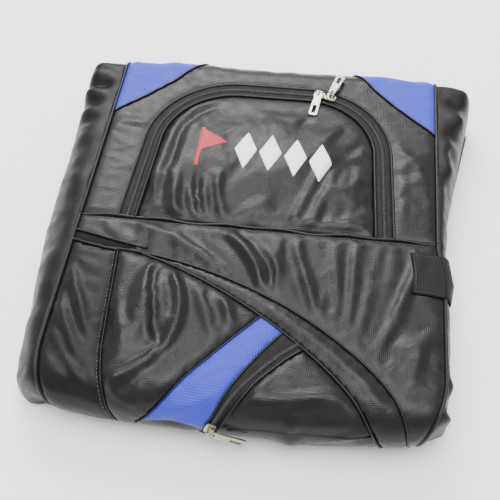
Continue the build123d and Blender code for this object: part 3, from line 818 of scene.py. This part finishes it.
gusset_outline = ring_outline(LINE_UPPER, straight(LINE_UPPER[-1], LINE_LOWER[-1]), LINE_LOWER[::-1])
lower_panel("curved_gusset_cloth", gusset_outline, BLACK, 1.2, "curved_gusset", crown=0.8, edge=5)
for edge, line, lift in (("upper", LINE_UPPER, 1.6), ("lower", LINE_LOWER, 1.9)):
    piping(f"curved_gusset_{edge}_piping", line, PIPING, radius=1.1, lift=lift, bends=True,
           replaces=(f"curved_gusset_{edge}_cord",))

strip_left = straight((X_LEFT + 2, CUT), LINE_SLIT_BOTTOM[0])
strip_outline = ring_outline(strip_left, LINE_SLIT_BOTTOM, LINE_STRIP)
lower_panel("left_strip_cloth", strip_outline, BLACK_SIDE, 1.3, "left_strip", crown=1.0)
blocks("left_strip_stitches", LINE_STRIP, THREAD, **STITCH, tall=0.45, lift=1.8, bends=True,
       slot="black_nylon", offset=-3.0)

piping("left_strip_seam", LINE_STRIP, PIPING, radius=0.8, lift=1.7, bends=True)
top_of_left = between(LINE_LOWER, -101, BAND_LEFT_X)
pocket_top = np.vstack([[LINE_STRIP[0] + (2, 0)], top_of_left])
left_outline = ring_outline(LINE_STRIP[::-1], pocket_top, LINE_BAND_LEFT,
                            straight(LINE_BAND_LEFT[-1], (-90, CUT)))
lower_panel("left_pocket_cloth", left_outline, BLACK, 1.5, "left_pocket_face", crown=POCKET)

blue_outline = ring_outline(LINE_BAND_LEFT[::-1], between(LINE_LOWER, BAND_LEFT_X, BAND_RIGHT_X),
                            LINE_BAND_RIGHT, LINE_BAND_FOOT)
lower_panel("blue_band_cloth", blue_outline, BLUE, 1.6, "blue_band", "blue_nylon", crown=0.9, edge=4)

zip_right = shift(LINE_ZIP, 6.0)
tape_outline = ring_outline(LINE_BAND_RIGHT[::-1], between(LINE_LOWER, BAND_RIGHT_X, TAPE_X), zip_right,
                            straight(zip_right[-1], (-36, CUT)), straight((-36, CUT), LINE_BAND_RIGHT[-1]))
lower_panel("diagonal_zip_tape_cloth", tape_outline, TAPE, 1.4, "diagonal_zip_tape", "zip_tape",
            thickness=0.5, cell=2.6, sink=0)
blocks("diagonal_zip_coil_teeth", LINE_ZIP, TEETH_WITH_PAINTED_GLINT, pitch=1.5, long=1.15, wide=4.0, tall=1.1, lift=1.5,
       bends=True, slot="zip_teeth", replaces=("diagonal_zip_coil",))
piping("blue_band_left_seam", LINE_BAND_LEFT, PIPING, radius=0.8, lift=1.9, bends=True)
piping("blue_band_right_seam", LINE_BAND_RIGHT, PIPING, radius=0.8, lift=1.9, bends=True)

pocket_right = ring_outline(zip_right[::-1], between(LINE_LOWER, TAPE_X, 129))
lower_panel("lower_pocket_cloth", pocket_right, BLACK, 1.3, "lower_pocket_face", crown=POCKET, edge=7)
piping("lower_pocket_foot_seam", curve((2, FOLD - 42), (40, FOLD - 34), (90, FOLD - 38), (128, FOLD - 34)),
       PIPING, radius=0.7, lift=1.5, bends=True)
piping("lower_pocket_zip_lip", shift(LINE_ZIP, 6.6), PIPING, radius=1.2, lift=1.9, bends=True)

# The mouth is drawn in the darkened lining: painted shade inside the slit pocket.
slit_outline = ring_outline(LINE_SLIT_TOP, LINE_SLIT_BOTTOM[::-1])
panel("slit_pocket_mouth", slit_outline, LINING_PAINTED_SHADE, lift=0.9, thickness=0.4, slot="lining", cell=2.5,
      replaces=("slit_pocket_lining",))
piping("slit_pocket_top_lip", LINE_SLIT_TOP, PIPING, radius=1.1, lift=1.6)
piping("slit_pocket_bottom_lip", LINE_SLIT_BOTTOM, PIPING, radius=1.2, lift=2.0)

hem_x = np.linspace(X_LEFT + 2, X_RIGHT - 2, 90)
HEM_WAVE = np.column_stack([hem_x, HEM + 2.0 * np.sin(hem_x / 12) * np.sin(hem_x / 37)])
piping("hem_piping", HEM_WAVE, BLACK, radius=1.5, lift=0.7)
blocks("hem_stitches", straight((X_LEFT + 4, HEM - 4), (X_RIGHT - 4, HEM - 4)), THREAD, **STITCH,
       tall=0.4, lift=0.75, slot="black_nylon")

# ------------------------------------------------------------------ sewn-on decoration
BADGE_LIFT = 0.8 + POCKET + 0.5
pole, tip = box_mm("badge_pennant")
pennant = polygon([(pole[0], pole[1]), (pole[0] + 4, pole[1]), (pole[0] + 5, pole[1] + 21),
                   (tip[0], tip[1] - 19), (pole[0] + 5, tip[1] - 4), (pole[0] + 4, tip[1]),
                   (pole[0], tip[1])])
panel("badge_pennant_stitching", pennant, RED, lift=BADGE_LIFT, crown=0.5, edge=2, cell=2.2, sink=0.2,
      slot="red_thread", replaces=("badge_pennant",), declare=False, thickness=1.2)
row_low, row_high = box_mm("badge_lozenges")
for index in range(4):
    half = 11.5
    cx = row_low[0] + half + index * (row_high[0] - row_low[0] - 2 * half) / 3
    cy = (row_low[1] + row_high[1]) / 2 + 4 - 3.2 * index
    outline = polygon([(cx - half, cy), (cx, cy + 24), (cx + half, cy), (cx, cy - 24)])
    panel(f"badge_lozenge_{index + 1}", outline, WHITE, lift=BADGE_LIFT, crown=0.5, edge=2, cell=2.2,
          sink=0.2, slot="white_thread", declare=False, thickness=1.2,
          replaces=("badge_lozenges",) if index == 0 else ())


# ------------------------------------------------------------------ side gussets
def shell_faces(count, width, flip):
    """Faces of a closed sheet made of two grids, outside first."""
    faces = []
    total = count * width
    for i in range(count - 1):
        for k in range(width - 1):
            a = i * width + k
            quad = (a, a + 1, a + width + 1, a + width)
            low = tuple(v + total for v in quad)
            faces += [quad, low[::-1]] if flip else [quad[::-1], low]
    loop = list(range(width)) + [i * width + width - 1 for i in range(1, count)]
    loop += [(count - 1) * width + k for k in reversed(range(width - 1))]
    loop += [i * width for i in reversed(range(1, count - 1))]
    for a, b in zip(loop, loop[1:] + loop[:1]):
        quad = (a, b, b + total, a + total)
        faces.append(quad[::-1] if flip else quad)
    return faces


def side_sheet(name, seam_x, reach, drop, material, body, replaces, s_from, s_to, base_z=0.6,
               bulge=2.0, seed=1.0, rough=2.2, dents=(), top_z=None, push=18):
    """Cloth that hangs from a side seam to the ground, wrapped round both folds."""
    side = -1 if seam_x < X_MIDDLE else 1
    turning = REAR + 0.6 * (REAR_END - REAR)
    rows = np.r_[np.arange(s_from, min(turning, s_to), 4.0), np.arange(turning, s_to, 1.6)]
    steps = np.linspace(0, 1, 17)
    outside = []
    for s in rows:
        seam = roll_map(np.array([seam_x]), np.array([s]), np.array([-0.8]))[0]
        if top_z is not None:
            seam = np.array([seam_x, min(max(s, FOLD), REAR), top_z])
        front = min(max((FOLD - s) / ROLL / math.pi, 0), 1)
        rear = min(max((s - REAR) / REAR_ROLL / math.pi, 0), 1)
        turn = max(front, min(rear * 1.15, 0.95)) * math.pi / 2
        out = np.interp(s, *reach) * math.cos(turn) ** (1.0 if front else 0.5) + 3
        y = min(max(s, FOLD), REAR)
        y += -push * math.sin(turn) if front else (15 * math.sin(turn) if rear else 0)
        ground = np.array([seam_x + side * out, y, base_z])
        tuck = np.clip((front - 0.55) / 0.25, 0, 1) + np.clip((rear - 0.72) / 0.24, 0, 1)
        tucked = seam + np.array([side * 1.5, 0, -2.0])
        tucked[2] = max(tucked[2], base_z)
        ground = ground + (tucked - ground) * tuck ** 1.5
        power = np.interp(s, *drop)
        line = []
        for t in steps:
            x = seam[0] + (ground[0] - seam[0]) * (1 - (1 - t) ** 1.25)
            yy = seam[1] + (ground[1] - seam[1]) * t
            z = seam[2] + (ground[2] - seam[2]) * t ** power
            swell = math.sin(math.pi * t) * bulge
            ruffle = noise.noise(Vector((s / 34.0, t * 1.6, seed))) + 0.5 * noise.noise(
                Vector((s / 15.0, t * 3.2, seed + 5)))
            depth = rough * ruffle * math.sin(math.pi * min(t * 1.15, 1)) ** 0.8 * (1 - 0.8 * min(tuck, 1))
            for ds, dt, wide, deep in dents:
                depth += deep * math.exp(-((s - ds) / wide) ** 2 - ((t - dt) / 0.2) ** 2)
            line.append((x + side * (swell + depth) * 0.7, yy, max(z + (swell + depth) * 0.7, base_z)))
        outside.append(line)
    outer = np.array(outside)
    normal = np.cross(np.gradient(outer, axis=0), np.gradient(outer, axis=1))
    normal /= np.linalg.norm(normal, axis=2)[..., None] + 1e-9
    if np.mean(normal[..., 2]) < 0:
        normal = -normal
    inner = outer - normal * CLOTH
    inner[..., 2] = np.maximum(inner[..., 2], 0.15)
    count, width = outer.shape[:2]
    verts = np.vstack([outer.reshape(-1, 3), inner.reshape(-1, 3)]) * MM
    faces = shell_faces(count, width, side < 0)
    across = np.tile(steps * 70, count)
    uvs = np.vstack([np.column_stack([across, np.repeat(rows, width)])] * 2) / 100
    piece = add_mesh(name, verts, faces, material, uvs)
    finish_piece(piece, body, replaces)
    diagonals = np.cross(outer[1:, 1:] - outer[:-1, :-1], outer[1:, :-1] - outer[:-1, 1:])
    area = np.linalg.norm(diagonals, axis=2).sum() / 2
    length = rows[-1] - rows[0]
    wide = area / length
    return piece


def pleats(first, pitch, depths):
    """Evenly spaced pleats across a side wall; a valley has a negative depth."""
    return [(first - pitch * k, 0.4 + 0.1 * (k % 2), 6.5, depth) for k, depth in enumerate(depths)]


LEFT_REACH = ([FRONT_END, FOLD, HEM, REAR], [12, 26, 46, 46])
RIGHT_REACH = ([FRONT_END, FOLD, HEM + 40, REAR], [0, 10, 12, 41])
SIDE_DROP = ([FRONT_END, HEM, REAR - 50, REAR + 20], [1.6, 2.0, 3.2, 6.5])
side_sheet("left_gusset_cloth", X_LEFT - 0.5, LEFT_REACH, SIDE_DROP, BLACK_SIDE, "top_section",
           ("left_gusset",), FRONT_END + 20, REAR_END - 1, seed=1.3, rough=3.0,
           dents=pleats(REAR + 2, 13.5, (4, 4, -9, 4, -5, 3, -4)))
side_sheet("right_gusset_cloth", X_RIGHT + 0.5, RIGHT_REACH, SIDE_DROP, BLACK_SIDE, "top_section",
           ("right_gusset",), FRONT_END + 20, REAR_END - 1, seed=4.7, rough=3.4,
           dents=pleats(REAR - 18, 23, (-6, 4, -4, -4, 3, -3)) + pleats(FOLD + 23, 18, (4, -9, 4)), push=6)

for side, edge_x, radius, lift in (("left", X_LEFT, 1.7, 0.4), ("right", X_RIGHT, 1.6, 0.2)):
    piping(f"{side}_seam_front_piping", straight((edge_x, FRONT_END + 16), (edge_x, HEM)), PIPING,
           radius=radius, lift=lift, replaces=(f"{side}_piping",), bends=True)
    piping(f"{side}_seam_rear_piping", straight((edge_x, HEM), (edge_x, REAR_END - 4)), PIPING,
           radius=radius, lift=lift)


# ------------------------------------------------------------------ sections under the face
def pillow(name, low, high, material, body, replaces, seed, corner=16.0):
    """A soft flat section: closed, rounded all round, with shallow dimples."""
    x0, y0, z0 = low
    x1, y1, z1 = high
    points = []
    for cx, cy, first in ((x1 - corner, y1 - corner, 0), (x0 + corner, y1 - corner, 90),
                          (x0 + corner, y0 + corner, 180), (x1 - corner, y0 + corner, 270)):
        for k in range(7):
            a = math.radians(first + 15 * k)
            points.append((cx + corner * math.cos(a), cy + corner * math.sin(a)))
    points.append(points[0])
    outline = ring_outline(np.array(points), step=4.0)
    flat, triangles = fill(outline, 6.0)
    loop = np.vstack([outline, outline[:1]])
    gap = distance_to(flat, loop)
    half = (z1 - z0) / 2
    t = np.clip(gap / (half * 1.3), 0, 1)
    round_edge = np.sqrt(1 - (1 - t) ** 2)
    bumps = 0.7 * ripple(flat, 30.0, seed) + 0.4 * ripple(flat, 12.0, seed + 2)
    inside = np.clip(gap / 12, 0, 1)
    top = (z0 + z1) / 2 + half * round_edge - (0.8 - bumps) * inside
    bottom = (z0 + z1) / 2 - half * round_edge + 0.25 * inside
    on_edge = gap < 0.01
    index = np.arange(len(flat))
    under = np.where(on_edge, index, index + len(flat))
    verts = np.vstack([np.column_stack([flat, top]), np.column_stack([flat, bottom])]) * MM
    faces = list(triangles) + [tuple(int(under[i]) for i in reversed(f)) for f in triangles]
    used = sorted({i for f in faces for i in f})
    remap = {old: new for new, old in enumerate(used)}
    faces = [tuple(remap[i] for i in f) for f in faces]
    uvs = np.vstack([flat, flat + 7])[used] / 100
    piece = add_mesh(name, verts[used], faces, material, uvs)
    finish_piece(piece, body, replaces)
    return outline


def edge_piping(name, outline, z, body, radius=1.6):
    path = resample(np.vstack([outline, outline[:1]]), 4.0)[:-1]
    centre = np.column_stack([path, np.full(len(path), z)]) * MM
    tangent = np.roll(centre, -1, axis=0) - np.roll(centre, 1, axis=0)
    tangent /= np.linalg.norm(tangent, axis=1)[:, None]
    normal = np.tile((0.0, 0.0, 1.0), (len(path), 1))
    verts, faces = tube_mesh(centre, tangent, normal, radius, closed=True)
    uvs = np.column_stack([np.tile(np.arange(10) * radius * 0.6, len(path)),
                           np.repeat(np.arange(len(path)) * 4.0, 10)]) / 100
    piece = add_mesh(name, verts, faces, PIPING, uvs)
    finish_piece(piece, body, ())


base_outline = pillow("base_section_cloth", (X_LEFT - 3, FOLD - 4, 0.3), (X_RIGHT + 3, REAR + 10, BASE_TOP),
                      BLACK, "base_section",
                      ("base_face_panel", "base_padding", "base_lining_panel"), 2.2)
edge_piping("base_lower_piping", base_outline, 4.2, "base_section")
edge_piping("base_upper_piping", base_outline, 14.6, "base_section")
middle_outline = pillow("middle_section_cloth", (X_LEFT - 1, MIDDLE_LOW[1], MIDDLE_LOW[2]),
                        (X_RIGHT + 1, REAR + 2, MIDDLE_HIGH[2]), BLACK_DEEP, "top_section",
                        ("middle_lining_panel", "middle_padding", "middle_face_panel",
                         "middle_left_gusset", "middle_right_gusset"), 5.2)
edge_piping("middle_piping", middle_outline, MIDDLE_LOW[2] + 4, "top_section")
pillow("top_section_wadding", (X_LEFT + 1, FOLD - 2, TOP_LOW[2] - 0.4), (X_RIGHT - 1, REAR + 2, FACE - 3.4),
       LINING_PAINTED_SHADE, "top_section", ("top_padding", "top_lining_panel"), 7.2)

BASE_REACH_LEFT = ([FOLD, REAR], [10, 18])
BASE_REACH_RIGHT = ([FOLD, HEM + 40, REAR - 10, REAR], [6, 9, 40, 35])
for side, seam_x, reach, power, seed in (("left", X_LEFT - 2, BASE_REACH_LEFT, 1.5, 8.1),
                                         ("right", X_RIGHT + 2, BASE_REACH_RIGHT, 2.0, 9.1)):
    side_sheet(f"base_{side}_gusset_cloth", seam_x, reach, ([0, 1], [power, power]), BLACK_DEEP,
               "base_section", (f"base_{side}_gusset",), FOLD, REAR, bulge=0.5, seed=seed,
               rough=0.6, top_z=BASE_TOP - 6)

# ------------------------------------------------------------------ stitched patch and side loop
patch_low, patch_high = box_mm("loop_anchor_patch")
patch = polygon(corners(patch_low[0], patch_low[1], X_RIGHT + 1, patch_high[1]))
panel("loop_anchor_webbing", patch, WEBBING, lift=2.6, crown=0.2, edge=2, cell=2.6, sink=0.1,
      slot="webbing", replaces=("loop_anchor_patch",), thickness=1.3)
inset = 2.2
stitched = corners(patch_low[0] + inset, patch_low[1] + inset, X_RIGHT - inset, patch_high[1] - inset)
blocks("loop_anchor_stitches", np.array(stitched + stitched[:1], float), THREAD, pitch=2.8, long=2.0,
       wide=0.6, tall=0.45, lift=2.3, slot="webbing")


def side_loop():
    low, high = box_mm("side_loop")
    rows = np.linspace(low[1], high[1], 12)
    profile = smooth([(X_RIGHT + 4, FACE + 2.4), (X_RIGHT + 8, FACE + 1.8), (X_RIGHT + 13, FACE - 2),
                      (X_RIGHT + 16, FACE - 9), (X_RIGHT + 15, FACE - 16)], 1.5)
    outer = []
    for index, y in enumerate(rows):
        lean = 0.3 * math.sin(index * 0.7)
        pinch = 0.04 * abs(index - 5)
        outer.append([(p[0] - pinch * (p[0] - X_RIGHT), y, p[1] + lean) for p in profile])
    outer = np.array(outer)
    inner = outer - np.array([1.1, 0, 1.1])
    verts = np.vstack([outer.reshape(-1, 3), inner.reshape(-1, 3)]) * MM
    faces = shell_faces(*outer.shape[:2], True)
    uvs = np.vstack([outer.reshape(-1, 3)[:, [0, 1]]] * 2) / 100
    piece = add_mesh("side_loop_webbing", verts, faces, WEBBING, uvs)
    finish_piece(piece, "top_section", ("side_loop",))


side_loop()

# ------------------------------------------------------------------ metal parts keep their CAD shape
for name in ("upper_left", "upper_right", "diagonal"):
    for kind in ("slider", "pull_ring", "pull"):
        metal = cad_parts[f"{name}_{kind}"]
        metal.data.materials.clear()
        metal.data.materials.append(NICKEL)

# ------------------------------------------------------------------ floor, light and camera
floor_material, floor_tree, floor_shader = new_material("pale_floor", (0.9, 0.9, 0.9), 0.75, specular=0.2)
paper = node(floor_tree, "ShaderNodeTexNoise", in_2=6.0, in_3=3.0).outputs[0]
floor_tree.links.new(mix_colors(floor_tree, paper, (0.86, 0.865, 0.875), (0.92, 0.92, 0.92)),
                     floor_shader.inputs["Base Color"])
floor = add_mesh("floor", [(-6, -6, 0), (6, -6, 0), (6, 6, 0), (-6, 6, 0)], [(0, 1, 2, 3)], floor_material)

world = bpy.data.worlds.new("studio")
bpy.context.scene.world = world
world.use_nodes = True
world.node_tree.nodes["Background"].inputs[0].default_value = (0.93, 0.95, 1.0, 1)
world.node_tree.nodes["Background"].inputs[1].default_value = 1.4


def soft_light(name, position, size, power):
    """A rectangular lamp aimed at the origin."""
    data = bpy.data.lights.new(name, "AREA")
    data.shape = "RECTANGLE"
    data.size, data.size_y = size
    data.energy = power
    light = bpy.data.objects.new(name, data)
    light.location = position
    light.rotation_euler = (-Vector(position)).to_track_quat("-Z", "Y").to_euler()
    bpy.context.scene.collection.objects.link(light)


soft_light("window", (-0.4, 1.4, 1.35), (1.2, 0.8), 46)
soft_light("overhead", (0.0, -0.1, 2.3), (1.6, 1.6), 74)

AZIMUTH, ELEVATION, ROLL_ANGLE = math.radians(9.3), math.radians(55.7), math.radians(-2.4)
TARGET = Vector((-3.2, -17.2, 30.0)) * MM
DISTANCE = 0.739
back = Vector((math.sin(AZIMUTH) * math.cos(ELEVATION), -math.cos(AZIMUTH) * math.cos(ELEVATION),
               math.sin(ELEVATION)))
right = (-back).cross(Vector((0, 0, 1))).normalized()
up = right.cross(-back)
tilted_right = right * math.cos(ROLL_ANGLE) + up * math.sin(ROLL_ANGLE)
tilted_up = up * math.cos(ROLL_ANGLE) - right * math.sin(ROLL_ANGLE)
camera_data = bpy.data.cameras.new("camera")
camera_data.lens = 54
camera_data.sensor_width = 36
camera = bpy.data.objects.new("camera", camera_data)
camera.matrix_world = Matrix.Translation(TARGET + back * DISTANCE) @ Matrix(
    (tilted_right, tilted_up, back)).transposed().to_4x4()
bpy.context.scene.collection.objects.link(camera)
bpy.context.scene.camera = camera
